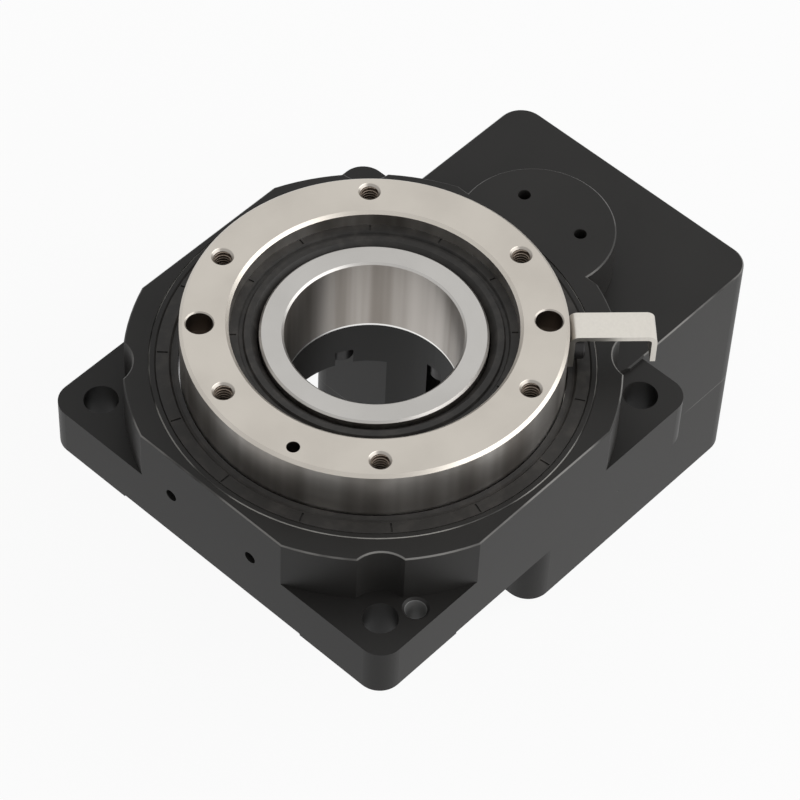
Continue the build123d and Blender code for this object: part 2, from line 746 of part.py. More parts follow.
# Split clamp collar round the shaft's hollow end, with the seat of its screw
with BuildPart() as clamp_collar:
    with BuildSketch(Plane.XY.offset(collar_bottom)):
        with Locations(pinion_axis):
            Circle(collar_radius)
            Circle(clamp_end_radius, mode=Mode.SUBTRACT)
        with Locations((axis_distance, (clamp_end_radius + collar_radius) / 2)):
            Rectangle(slit_width, collar_radius - clamp_end_radius + 2 * slit_overrun, mode=Mode.SUBTRACT)
        with Locations((axis_distance, -(clamp_end_radius - slit_overrun + relief_slit_end) / 2)):
            Rectangle(slit_width, relief_slit_end - clamp_end_radius + slit_overrun, mode=Mode.SUBTRACT)
    extrude(amount=collar_top - collar_bottom)
    screw_seat_plane = Plane(
        (axis_distance - clamp_screw_seat, clamp_screw_offset, clamp_screw_height),
        x_dir=(0, 1, 0),
        z_dir=(-1, 0, 0),
    )
    with BuildSketch(screw_seat_plane):
        Circle(large_head_radius + head_gap)
    extrude(amount=collar_radius, mode=Mode.SUBTRACT)
    with BuildSketch(screw_seat_plane):
        Circle(large_screw_radius + thread_gap)
    extrude(amount=-clamp_screw_length - floor_gap, mode=Mode.SUBTRACT)
finish(clamp_collar.part, "clamp_collar")

clamp_screw_piece = make_socket_screw(
    large_screw_radius, clamp_screw_length, large_head_radius, large_head_height, large_socket_width
)
with BuildPart() as clamp_screw:
    with Locations(Plane(screw_seat_plane.origin, x_dir=(0, 1, 0), z_dir=(1, 0, 0))):
        add(clamp_screw_piece)
finish(clamp_screw.part, "clamp_screw")

# Screws that hold the adapter to the housing's block
adapter_screw = make_socket_screw(
    large_screw_radius, adapter_screw_length, large_head_radius, large_head_height, large_socket_width
)
with BuildPart() as adapter_screws:
    with Locations(Plane((axis_distance, 0, adapter_screw_seat))):
        with GridLocations(2 * adapter_hole_x, 2 * adapter_hole_y, 2, 2):
            add(adapter_screw)
finish(adapter_screws.part, "adapter_screws")

# Two deep groove ball bearings on the pinion shaft
for place, race_bottom in (("upper", upper_race_bottom), ("lower", lower_race_bottom)):
    race_middle = race_bottom + race_width / 2
    with BuildPart() as outer_race:
        with BuildSketch(Plane.XZ):
            draw_ring_section(
                outer_race_bore_radius, race_outer_radius, race_bottom, race_bottom + race_width
            )
            with Locations((ball_circle_radius, race_middle)):
                Circle(ball_radius + running_gap, mode=Mode.SUBTRACT)
        revolve(axis=Axis.Z)
    finish(outer_race.part.moved(Location((axis_distance, 0, 0))), f"{place}_outer_race")
    with BuildPart() as inner_race:
        with BuildSketch(Plane.XZ):
            draw_ring_section(shaft_radius, inner_race_radius, race_bottom, race_bottom + race_width)
            with Locations((ball_circle_radius, race_middle)):
                Circle(ball_radius + running_gap, mode=Mode.SUBTRACT)
        revolve(axis=Axis.Z)
    finish(inner_race.part.moved(Location((axis_distance, 0, 0))), f"{place}_inner_race")
    with BuildPart() as balls:
        with Locations(Plane((axis_distance, 0, race_middle))):
            with PolarLocations(ball_circle_radius, ball_count):
                Sphere(ball_radius)
    finish(balls.part, f"{place}_balls")

# Spacers between the two bearings
with BuildPart() as outer_spacer:
    with BuildSketch(Plane.XY.offset(lower_race_top)):
        with Locations(pinion_axis):
            Circle(race_outer_radius)
            Circle(outer_race_bore_radius, mode=Mode.SUBTRACT)
    extrude(amount=bearing_spacing)
finish(outer_spacer.part, "outer_spacer")

with BuildPart() as inner_spacer:
    with BuildSketch(Plane.XY.offset(lower_race_top)):
        with Locations(pinion_axis):
            Circle(inner_race_radius)
            Circle(shaft_radius, mode=Mode.SUBTRACT)
    extrude(amount=bearing_spacing)
finish(inner_spacer.part, "inner_spacer")

# Circlips under the lower bearing, one in the housing's groove and one on the shaft
with BuildPart() as housing_circlip:
    with BuildSketch(Plane.XY.offset(clip_bottom)):
        with Locations(pinion_axis):
            Circle(race_outer_radius + circlip_groove_depth)
            Circle(race_outer_radius + circlip_groove_depth - circlip_width, mode=Mode.SUBTRACT)
        with Locations((axis_distance + race_outer_radius, 0)):
            Rectangle(2 * circlip_width, 2 * circlip_width, mode=Mode.SUBTRACT)
    extrude(amount=circlip_thickness)
finish(housing_circlip.part, "housing_circlip")

with BuildPart() as shaft_circlip:
    with BuildSketch(Plane.XY.offset(clip_bottom)):
        with Locations(pinion_axis):
            Circle(shaft_radius - circlip_groove_depth + circlip_width)
            Circle(shaft_radius - circlip_groove_depth, mode=Mode.SUBTRACT)
        with Locations((axis_distance + shaft_radius, 0)):
            Rectangle(2 * circlip_width, 2 * circlip_width, mode=Mode.SUBTRACT)
    extrude(amount=circlip_thickness)
finish(shaft_circlip.part, "shaft_circlip")

# Shaft seal between the lower bearing and the coupling
shaft_seal_bottom = block_seam + floor_gap
with BuildPart() as shaft_seal:
    with BuildSketch(Plane.XZ):
        draw_ring_section(
            race_outer_radius,
            shaft_seal_radius,
            shaft_seal_bottom,
            shaft_seal_bottom + shaft_seal_length,
        )
        draw_ring_section(
            clamp_end_radius + seal_gap,
            race_outer_radius,
            shaft_seal_bottom,
            shaft_seal_bottom + shaft_seal_length / 3,
        )
    revolve(axis=Axis.Z)
finish(shaft_seal.part.moved(Location((axis_distance, 0, 0))), "shaft_seal")
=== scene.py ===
"""Looks of the hollow rotary platform: finishes for its parts, screw threads, and a plain studio.

Lengths are metres, and every piece keeps its place in its mesh.
"""

from __future__ import annotations

import json
import logging
import math
from collections.abc import Iterable
from dataclasses import dataclass, field
from enum import Enum
from functools import cached_property
from typing import Any, Protocol

import bpy
import numpy as np
from mathutils import Matrix, Vector

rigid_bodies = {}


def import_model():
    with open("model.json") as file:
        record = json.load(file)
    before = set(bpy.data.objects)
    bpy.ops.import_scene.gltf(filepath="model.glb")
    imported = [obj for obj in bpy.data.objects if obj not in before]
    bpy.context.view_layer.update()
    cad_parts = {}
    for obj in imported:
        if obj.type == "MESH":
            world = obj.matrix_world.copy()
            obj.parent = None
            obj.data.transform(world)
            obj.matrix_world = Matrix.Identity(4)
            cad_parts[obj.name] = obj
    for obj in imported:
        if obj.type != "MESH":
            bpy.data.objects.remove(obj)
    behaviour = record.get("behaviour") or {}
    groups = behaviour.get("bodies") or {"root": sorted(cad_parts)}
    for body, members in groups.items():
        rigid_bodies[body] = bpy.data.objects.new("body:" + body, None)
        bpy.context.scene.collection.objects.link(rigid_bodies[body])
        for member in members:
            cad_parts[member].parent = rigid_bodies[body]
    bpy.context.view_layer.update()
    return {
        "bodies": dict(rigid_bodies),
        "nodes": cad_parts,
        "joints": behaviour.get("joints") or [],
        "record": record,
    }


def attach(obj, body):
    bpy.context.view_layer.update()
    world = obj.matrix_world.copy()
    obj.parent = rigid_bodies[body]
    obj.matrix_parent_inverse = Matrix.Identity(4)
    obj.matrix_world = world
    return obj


LOG = logging.getLogger("platform")
Colour = tuple[float, float, float]
Place = tuple[float, float, float]
WHITE: Colour = (1.0, 1.0, 1.0)
MM = 0.001
# Widths of the soft changes at the rims of masks, from the sharpest to the softest.
HAIR = 0.02 * MM
FINE = 0.03 * MM
SOFT = 0.05 * MM
WIDE = 0.10 * MM


class Slot(Enum):
    """Names of material slots for the pieces of this script."""

    TABLE = "table_steel"
    ADAPTER = "black_adapter"


class Body(Enum):
    """Bodies of the joint tree that the pieces ride on."""

    FRAME = "frame"
    TABLE = "table"


class Signal:
    """A value that runs through a node tree, with arithmetic on it."""

    def __init__(self, recipe: Recipe, socket: bpy.types.NodeSocket) -> None:
        """Keeps the recipe and the output socket that carries the value."""
        self.recipe = recipe
        self.socket = socket

    def __add__(self, other: Signal | float) -> Signal:
        """Sum."""
        return self.recipe.math("ADD", self, other)

    __radd__ = __add__

    def __mul__(self, other: Signal | float) -> Signal:
        """Product."""
        return self.recipe.math("MULTIPLY", self, other)

    __rmul__ = __mul__

    def __sub__(self, other: Signal | float) -> Signal:
        """Difference."""
        return self.recipe.math("SUBTRACT", self, other)

    def __rsub__(self, other: Signal | float) -> Signal:
        """Reflected difference."""
        return self.recipe.math("SUBTRACT", other, self)

    def absolute(self) -> Signal:
        """Size without its sign."""
        return self.recipe.math("ABSOLUTE", self)

    def sign(self) -> Signal:
        """One above zero and minus one below it."""
        return self.recipe.math("SIGN", self)

    def larger(self, other: Signal | float) -> Signal:
        """The larger of two values."""
        return self.recipe.math("MAXIMUM", self, other)

    def smaller(self, other: Signal | float) -> Signal:
        """The smaller of two values."""
        return self.recipe.math("MINIMUM", self, other)

    def diagonal(self, other: Signal) -> Signal:
        """Distance over two axes: the root of both values' squares added."""
        return self.recipe.math("POWER", self * self + other * other, 0.5)

    def between(self, low: float, high: float) -> Signal:
        """Rises smoothly from zero at one value to one at another.

        Args:
            low: the value that gives zero.
            high: the value that gives one, which may be the lower of the two.

        Returns:
            The mask.
        """
        settings = {"interpolation_type": "SMOOTHSTEP", "clamp": True}
        inputs = {"Value": self, "From Min": low, "From Max": high}
        return self.recipe.node("ShaderNodeMapRange", settings, inputs)

    def below(self, limit: float, blur: float) -> Signal:
        """One where the value is under a limit and zero above it, with a soft change between."""
        return self.between(limit + blur, limit - blur)


@dataclass(frozen=True)
class Patches:
    """How a noise becomes patches: the values where they start and are full, and their strength."""

    start: float
    full: float
    strength: float = 1.0

    def of(self, noise: Signal) -> Signal:
        """Mask of the patches in a noise."""
        return noise.between(self.start, self.full) * self.strength


def vary(middle: float, *parts: tuple[Signal, float]) -> Signal:
    """A value that varies to both sides of its middle.

    Args:
        middle: the value where every noise is at one half.
        parts: noises, each with the span that it adds.

    Returns:
        The middle plus each noise, less one half, times its span.
    """
    low = middle - sum(span for _, span in parts) / 2
    return sum((noise * span for noise, span in parts), start=low)


class Recipe:
    """Builds the nodes of one material, or of the world, one by one."""

    def __init__(self, holder: bpy.types.Material | bpy.types.World) -> None:
        """Empties the node tree of the material or world."""
        holder.use_nodes = True
        self.holder = holder
        self.tree = holder.node_tree
        self.tree.nodes.clear()

    @classmethod
    def named(cls, name: str) -> Recipe:
        """Recipe of a new material of this name."""
        return cls(bpy.data.materials.new(name))

    def add(
        self,
        kind: str,
        settings: dict[str, Any] | None = None,
        inputs: dict[str | int, Any] | None = None,
    ) -> bpy.types.Node:
        """Adds one node.

        Args:
            kind: the node's type.
            settings: its properties, set first.
            inputs: values or signals by socket name or number.

        Returns:
            The node.
        """
        made = self.tree.nodes.new(kind)
        for name, value in (settings or {}).items():
            setattr(made, name, value)
        for name, value in (inputs or {}).items():
            target = made.inputs[name]
            if isinstance(value, Signal):
                self.tree.links.new(value.socket, target)
            elif target.type == "RGBA":
                target.default_value = (*value, 1.0)
            else:
                target.default_value = value
        return made

    def node(
        self,
        kind: str,
        settings: dict[str, Any] | None = None,
        inputs: dict[str | int, Any] | None = None,
        output: str | int = 0,
    ) -> Signal:
        """Adds one node and takes one of its outputs, by name or number."""
        return Signal(self, self.add(kind, settings, inputs).outputs[output])

    def math(self, operation: str, *operands: Signal | float) -> Signal:
        """Adds one Math node on these operands."""
        return self.node("ShaderNodeMath", {"operation": operation}, dict(enumerate(operands)))

    @cached_property
    def coordinates(self) -> Signal:
        """The object's own coordinates."""
        return self.node("ShaderNodeTexCoord", output="Object")

    def axis(self, name: str) -> Signal:
        """One coordinate, X, Y or Z."""
        return self.node("ShaderNodeSeparateXYZ", inputs={0: self.coordinates}, output=name)

    def radius(self, centre_x: float = 0.0) -> Signal:
        """Distance from an upright axis that crosses the X axis at a centre."""
        return (self.axis("X") - centre_x).diagonal(self.axis("Y"))

    def noise(self, scale: float, detail: float, stretch: Place | None = None) -> Signal:
        """Noise in three dimensions, from zero to one.

        Args:
            scale: cycles in a metre.
            detail: octaves.
            stretch: factors for the three coordinates, or None for even noise.

        Returns:
            The noise.
        """
        place = self.coordinates
        if stretch is not None:
            place = self.node("ShaderNodeMapping", inputs={"Vector": place, "Scale": stretch})
        inputs = {"Vector": place, "Scale": scale, "Detail": detail}
        return self.node("ShaderNodeTexNoise", inputs=inputs)

    def grooves(self, distance: Signal, scale: float, detail: float = 2.0) -> Signal:
        """Noise that changes with one distance alone, for turned grooves.

        Args:
            distance: the value that the noise follows.
            scale: cycles in a metre.
            detail: octaves.

        Returns:
            The noise, from zero to one.
        """
        inputs = {"W": distance, "Scale": scale, "Detail": detail}
        return self.node("ShaderNodeTexNoise", {"noise_dimensions": "1D"}, inputs)

    def mix(self, factor: Signal, first: Signal | Colour, second: Signal | Colour) -> Signal:
        """Colour between two colours.

        Args:
            factor: zero for the first colour and one for the second.
            first: colour or signal.
            second: colour or signal.

        Returns:
            The mixed colour.
        """
        inputs = {0: factor, 6: first, 7: second}
        return self.node("ShaderNodeMix", {"data_type": "RGBA"}, inputs, output=2)

    def blend(self, factor: Signal, first: Signal, second: Signal) -> Signal:
        """Shader between two shaders."""
        return self.node("ShaderNodeMixShader", inputs={0: factor, 1: first, 2: second})

    def bump(self, height: Signal, distance: float) -> Signal:
        """Normal of a surface with small relief; the height runs from zero to one over the distance."""
        return self.node("ShaderNodeBump", inputs={"Height": height, "Distance": distance, "Strength": 1.0})

    def shown(self, eye_share: float) -> Signal:
        """Share of white that the studio shows of itself.

        Args:
            eye_share: the share for the camera; glossy and clear surfaces see all of it.

        Returns:
            The share for the ray in hand, zero for rays that carry light to matt faces.
        """
        eye = self.node("ShaderNodeLightPath", output="Is Camera Ray")
        gloss = self.node("ShaderNodeLightPath", output="Is Glossy Ray")
        glass = self.node("ShaderNodeLightPath", output="Is Transmission Ray")
        return (eye * eye_share).larger(gloss).larger(glass)

    def close(self, shader: Signal) -> None:
        """Joins a shader to the output of the material or the world."""
        kind = "World" if isinstance(self.holder, bpy.types.World) else "Material"
        self.add(f"ShaderNodeOutput{kind}", inputs={"Surface": shader})

    def finish(self, **inputs: Signal | float | Colour) -> bpy.types.Material:
        """Closes the material with one principled shader.

        Args:
            inputs: socket values by name, with underscores for blanks.

        Returns:
            The material.
        """
        named = {name.replace("_", " "): value for name, value in inputs.items()}
        self.close(self.node("ShaderNodeBsdfPrincipled", inputs=named))
        return self.holder


class Area(Protocol):
    """A part of a surface, as a mask."""

    def mask(self, recipe: Recipe) -> Signal:
        """One on the area and zero elsewhere."""


class Finish(Protocol):
    """A finish that builds its own material."""

    def material(self) -> bpy.types.Material:
        """Builds the finish."""


@dataclass(frozen=True)
class EdgeHighlight:
    """A broken edge round a flat top, with a painted highlight along it.

    The painted highlight is a band of heights just under the top. It can start at a distance along X, and at
    a distance from the table's axis.
    """

    top: float
    start_x: float | None = None
    start_radius: float | None = None
    depth: float = 0.32 * MM
    fade: float = 0.08 * MM

    def mask(self, recipe: Recipe) -> Signal:
        """Marks the painted highlight along the broken edge.

        Args:
            recipe: the material's recipe.

        Returns:
            One between the edge's lower and upper heights, past its starts.
        """
        height = recipe.axis("Z")
        low = self.top - self.depth
        band = height.between(low, low + self.fade) * height.below(self.top - FINE, HAIR)
        if self.start_x is not None:
            band = band * recipe.axis("X").between(self.start_x, self.start_x + WIDE)
        if self.start_radius is not None:
            band = band * recipe.radius().between(self.start_radius - WIDE, self.start_radius)
        return band


@dataclass(frozen=True)
class Pads:
    """Where the base is machined: its bare corner pads at the mounting plane, and its reamed pin holes."""

    thickness: float = 0.04 * MM
    inner: float = 22.45 * MM
    corner_centre: float = 38.0 * MM
    corner_radius: float = 4.46 * MM
    corner_blur: float = 0.01 * MM
    pin_x: float = 29.5 * MM
    pin_y: float = 38.5 * MM
    pin_radius: float = 2.04 * MM
    pin_shine: float = 0.30

    def mask(self, recipe: Recipe) -> Signal:
        """Marks pads and pin holes.

        Args:
            recipe: the material's recipe.

        Returns:
            One in a thin layer of the rounded corners, and a part of one on the pin holes' walls.
        """
        across, along, height = (recipe.axis(name) for name in "XYZ")
        layer = height.between(-SOFT, -HAIR) * height.below(self.thickness, HAIR)
        for reach in (across.absolute(), along.absolute()):
            layer = layer * reach.between(self.inner - FINE, self.inner)
        over_x = (across.absolute() - self.corner_centre).larger(0.0)
        over_y = (along.absolute() - self.corner_centre).larger(0.0)
        within = over_x.diagonal(over_y).below(self.corner_radius, self.corner_blur)
        side = along.sign()
        gap = (across - side * self.pin_x).diagonal(along - side * self.pin_y)
        return (layer * within).larger(gap.below(self.pin_radius, HAIR) * self.pin_shine)


@dataclass(frozen=True)
class MotorFace:
    """Where the motor adapter is machined bare: its lower face and the wall of its pilot."""

    axis_x: float
    face_z: float
    layer: float = 0.1 * MM
    pilot_radius: float = 25.2 * MM
    pilot_depth: float = 3.4 * MM

    def mask(self, recipe: Recipe) -> Signal:
        """Marks the bare faces.

        Args:
            recipe: the material's recipe.

        Returns:
            One just above the lower face, and inside the pilot up to its floor.
        """
        height = recipe.axis("Z")
        face = height.below(self.face_z + self.layer, SOFT)
        inside = recipe.radius(self.axis_x).below(self.pilot_radius, FINE)
        return face.larger(inside * height.below(self.face_z + self.pilot_depth, FINE))


@dataclass(frozen=True)
class Anodised:
    """Black anodised aluminium, satin, with painted highlights along broken edges and bare metal on an area.
    """

    name: str
    edge_highlights: tuple[EdgeHighlight, ...] = ()
    bare_area: Area | None = None
    dye: Colour = (0.0140, 0.0134, 0.0127)
    worn: Colour = (0.0215, 0.0205, 0.0193)
    # Colour of the painted highlight along the broken edges.
    wear_and_highlight: Colour = (0.185, 0.180, 0.172)
    bare: Colour = (0.78, 0.78, 0.77)
    brushed: Colour = (0.66, 0.66, 0.65)
    grain_scale: float = 5200.0
    cloud_scale: float = 38.0
    clouds: Patches = Patches(0.35, 0.75, 0.6)
    # Noise patches that break up the painted edge highlight, and its least strength.
    highlight_patch_scale: float = 55.0
    highlight_patches: Patches = Patches(0.42, 0.60, 0.92)
    least_highlight: float = 0.08
    brush_scale: float = 900.0
    brush_stretch: Place = (0.06, 1.0, 1.0)
    relief: float = 0.006 * MM
    roughness: float = 0.46
    grain_span: float = 0.10
    cloud_span: float = 0.08
    bare_gloss: float = 0.12
    brush_span: float = 0.12
    specular: float = 0.2

    def material(self) -> bpy.types.Material:
        """Builds the finish.

        Returns:
            The material.
        """
        recipe = Recipe.named(self.name)
        grain = recipe.noise(self.grain_scale, detail=2.0)
        cloud = recipe.noise(self.cloud_scale, detail=4.0)
        colour = recipe.mix(self.clouds.of(cloud), self.dye, self.worn)
        highlight_share = self.highlight_patches.of(recipe.noise(self.highlight_patch_scale, detail=3.0)) + self.least_highlight
        # Painted highlight along each broken edge, broken up by noise.
        for edge in self.edge_highlights:
            colour = recipe.mix(edge.mask(recipe) * highlight_share, colour, self.wear_and_highlight)
        rough = vary(self.roughness, (grain, self.grain_span), (cloud, self.cloud_span))
        metallic: Signal | float = 0.0
        if self.bare_area is not None:
            metallic = self.bare_area.mask(recipe)
            brush = recipe.noise(self.brush_scale, detail=3.0, stretch=self.brush_stretch)
            colour = recipe.mix(metallic, colour, recipe.mix(brush, self.bare, self.brushed))
            rough = rough + metallic * vary(-self.bare_gloss, (brush, self.brush_span))
        return recipe.finish(
            Base_Color=colour,
            Roughness=rough,
            Metallic=metallic,
            Specular_IOR_Level=self.specular,
            Normal=recipe.bump(grain, self.relief),
        )


@dataclass(frozen=True)
class Bores:
    """Countersinks and walls of drilled holes in a face, with painted shade in them next to the ground
    steel.

    Each hole is its distance from the table's axis, its angle in degrees and its radius.
    """

    holes: tuple[tuple[float, float, float], ...]
    face_z: float
    countersink: float = 0.3 * MM
    # Colours of the painted shade in the countersinks and on the walls.
    countersink_shade: Colour = (0.34, 0.315, 0.285)
    wall: Colour = (0.17, 0.145, 0.125)

    def gap(self, recipe: Recipe) -> Signal:
        """Distance to the nearest hole's wall, negative inside it.

        Args:
            recipe: the material's recipe.

        Returns:
            The smallest of the distances to the holes' centres less their radii.
        """
        across, along = recipe.axis("X"), recipe.axis("Y")
        gaps = []
        for distance, degrees, radius in self.holes:
            centre_x, centre_y = on_circle(distance, np.array([degrees]))[0].tolist()
            gaps.append((across - centre_x).diagonal(along - centre_y) - radius)
        nearest = gaps[0]
        for other in gaps[1:]:
            nearest = nearest.smaller(other)
        return nearest

    def paint(self, recipe: Recipe, face: Signal) -> Signal:
        """Paints shade into the countersinks and the walls.

        Args:
            recipe: the material's recipe.
            face: the face's colour.

        Returns:
            The colour with painted shade in the holes.
        """
        nearest, height = self.gap(recipe), recipe.axis("Z")
        cone = nearest.below(self.countersink + WIDE, FINE) * height.below(self.face_z - FINE, HAIR)
        wall = nearest.below(2 * HAIR, HAIR) * height.below(self.face_z - self.countersink, WIDE)
        # Painted shade: darker countersinks, darker still down the walls.
        return recipe.mix(wall, recipe.mix(cone, face, self.countersink_shade), self.wall)


@dataclass(frozen=True)
class Wall:
    """Upright walls of a turned part, with painted reflection in light and dark bands.

    Under the lip's height, if one is given, the wall carries a painted highlight.
    """

    top: float
    lip_z: float | None = None
    # Light and dark colours of the painted reflection bands.
    light: Colour = (0.47, 0.44, 0.41)
    dark_reflection: Colour = (0.25, 0.225, 0.20)
    # Colour of the painted highlight under the lip.
    lip_highlight: Colour = (0.93, 0.92, 0.90)
    scale: float = 150.0
    stretch: Place = (1.0, 1.0, 0.02)
    bands: Patches = Patches(0.38, 0.66)
    rougher: float = 0.04
    span: float = 0.16

    def paint(self, recipe: Recipe, face: Signal, rough: Signal) -> tuple[Signal, Signal]:
        """Paints reflection bands into the walls and changes their roughness.

        Args:
            recipe: the material's recipe.
            face: the colour of the flat faces.
            rough: their roughness.

        Returns:
            Colour and roughness with the walls in them.
        """
        height = recipe.axis("Z")
        mask = height.below(self.top, SOFT)
        upright = recipe.noise(self.scale, detail=3.0, stretch=self.stretch)
        # Painted reflection: light and dark upright bands.
        colour = recipe.mix(self.bands.of(upright), self.light, self.dark_reflection)
        # Painted highlight on the wall under the lip.
        if self.lip_z is not None:
            colour = recipe.mix(height.below(self.lip_z, FINE), colour, self.lip_highlight)
        rough = rough + mask * vary(self.rougher, (upright, self.span))
        return recipe.mix(mask, face, colour), rough


@dataclass(frozen=True)
class TurnedSteel:
    """Steel turned or ground on a lathe, with fine rings round an upright axis."""

    name: str
    colour: Colour = (0.520, 0.486, 0.437)
    dark: Colour = (0.405, 0.375, 0.336)
    axis_x: float = 0.0
    roughness: float = 0.35
    ring_scale: float = 5200.0
    ring_span: float = 0.10
    ring_relief: float = 0.8
    cloud_scale: float = 60.0
    cloud_span: float = 0.10
    clouds: Patches = Patches(0.3, 0.8, 0.55)
    grain_scale: float = 7000.0
    relief: float = 0.0022 * MM
    # Painted reflection bands on the upright walls, if given.
    wall: Wall | None = None
    # Painted shade in the holes of a face, if given.
    bores: Bores | None = None

    def material(self) -> bpy.types.Material:
        """Builds the finish.

        Returns:
            The material.
        """
        recipe = Recipe.named(self.name)
        grooves = recipe.grooves(recipe.radius(self.axis_x) + recipe.axis("Z"), self.ring_scale)
        cloud = recipe.noise(self.cloud_scale, detail=4.0)
        grain = recipe.noise(self.grain_scale, detail=2.0)
        colour = recipe.mix(self.clouds.of(cloud), self.colour, self.dark)
        rough = vary(self.roughness, (grooves, self.ring_span), (cloud, self.cloud_span))
        if self.wall is not None:
            colour, rough = self.wall.paint(recipe, colour, rough)
        if self.bores is not None:
            colour = self.bores.paint(recipe, colour)
        return recipe.finish(
            Base_Color=colour,
            Roughness=rough,
            Metallic=1.0,
            Normal=recipe.bump(grooves * self.ring_relief + grain * (1 - self.ring_relief), self.relief),
        )


@dataclass(frozen=True)
class RolledSteel:
    """Rolled or cut steel and aluminium, with fine lines along Z and no rings."""

    name: str
    colour: Colour = (0.670, 0.640, 0.585)
    dark: Colour = (0.550, 0.525, 0.480)
    roughness: float = 0.36
    line_scale: float = 1800.0
    stretch: Place = (1.0, 1.0, 0.1)
    line_strength: float = 0.6
    line_span: float = 0.14
    cloud_scale: float = 90.0
    cloud_strength: float = 0.3
    relief: float = 0.0015 * MM

    def material(self) -> bpy.types.Material:
        """Builds the finish.

        Returns:
            The material.
        """
        recipe = Recipe.named(self.name)
        lines = recipe.noise(self.line_scale, detail=3.0, stretch=self.stretch)
        cloud = recipe.noise(self.cloud_scale, detail=3.0)
        shade = lines * self.line_strength + cloud * self.cloud_strength
        return recipe.finish(
            Base_Color=recipe.mix(shade, self.colour, self.dark),
            Roughness=vary(self.roughness, (lines, self.line_span)),
            Metallic=1.0,
            Normal=recipe.bump(lines, self.relief),
        )


@dataclass(frozen=True)
class Rubber:
    """Matt black moulded rubber, with lighter patches that are partly dust and partly painted sheen."""

    name: str
    colour: Colour = (0.0190, 0.0178, 0.0165)
    dust_and_sheen: Colour = (0.048, 0.044, 0.040)
    cloud_scale: float = 420.0
    dust_and_sheen_patches: Patches = Patches(0.4, 0.8, 0.7)
    grain_scale: float = 6500.0
    relief: float = 0.006 * MM
    roughness: float = 0.52
    cloud_span: float = 0.12
    specular: float = 0.30

    def material(self) -> bpy.types.Material:
        """Builds the finish.

        Returns:
            The material.
        """
        recipe = Recipe.named(self.name)
        cloud = recipe.noise(self.cloud_scale, detail=4.0)
        grain = recipe.noise(self.grain_scale, detail=2.0)
        # Lighter patches: partly dust, partly painted sheen.
        return recipe.finish(
            Base_Color=recipe.mix(self.dust_and_sheen_patches.of(cloud), self.colour, self.dust_and_sheen),
            Roughness=vary(self.roughness, (cloud, self.cloud_span)),
            Metallic=0.0,
            Specular_IOR_Level=self.specular,
            Normal=recipe.bump(grain, self.relief),
        )


@dataclass(frozen=True)
class BlackOxide:
    """Oiled black oxide on steel screws."""

    name: str
    colour: Colour = (0.022, 0.021, 0.021)
    # Colour of worn patches on the screws.
    wear_and_highlight: Colour = (0.10, 0.095, 0.09)
    cloud_scale: float = 900.0
    wear: Patches = Patches(0.55, 0.85, 0.5)
    relief: float = 0.01 * MM
    roughness: float = 0.38
    cloud_span: float = 0.20
    metallic: float = 0.55

    def material(self) -> bpy.types.Material:
        """Builds the finish.

        Returns:
            The material.
        """
        recipe = Recipe.named(self.name)
        cloud = recipe.noise(self.cloud_scale, detail=4.0)
        return recipe.finish(
            Base_Color=recipe.mix(self.wear.of(cloud), self.colour, self.wear_and_highlight),
            Roughness=vary(self.roughness, (cloud, self.cloud_span)),
            Metallic=self.metallic,
            Normal=recipe.bump(cloud, self.relief),
        )


def on_circle(radius: float, degrees: np.ndarray) -> np.ndarray:
    """Places on a circle round the table's axis: radius times cosine and sine of each angle."""
    angle = np.radians(degrees)
    return np.stack([radius * np.cos(angle), radius * np.sin(angle)], axis=-1)


def make_mesh(
    name: str, points: np.ndarray, faces: np.ndarray, material: bpy.types.Material
) -> bpy.types.Object:
    """Puts a surface of four-sided faces into a new object.

    Args:
        name: the object's name.
        points: n by 3 places in metres.
        faces: m by 4 point numbers.
        material: its finish.

    Returns:
        The object, linked to the scene.
    """
    mesh = bpy.data.meshes.new(name)
    mesh.from_pydata(points.tolist(), [], faces.tolist())
    mesh.polygons.foreach_set("use_smooth", np.ones(len(faces), dtype=bool))
    mesh.materials.append(material)
    mesh.validate()
    made = bpy.data.objects.new(name, mesh)
    bpy.context.scene.collection.objects.link(made)
    return made


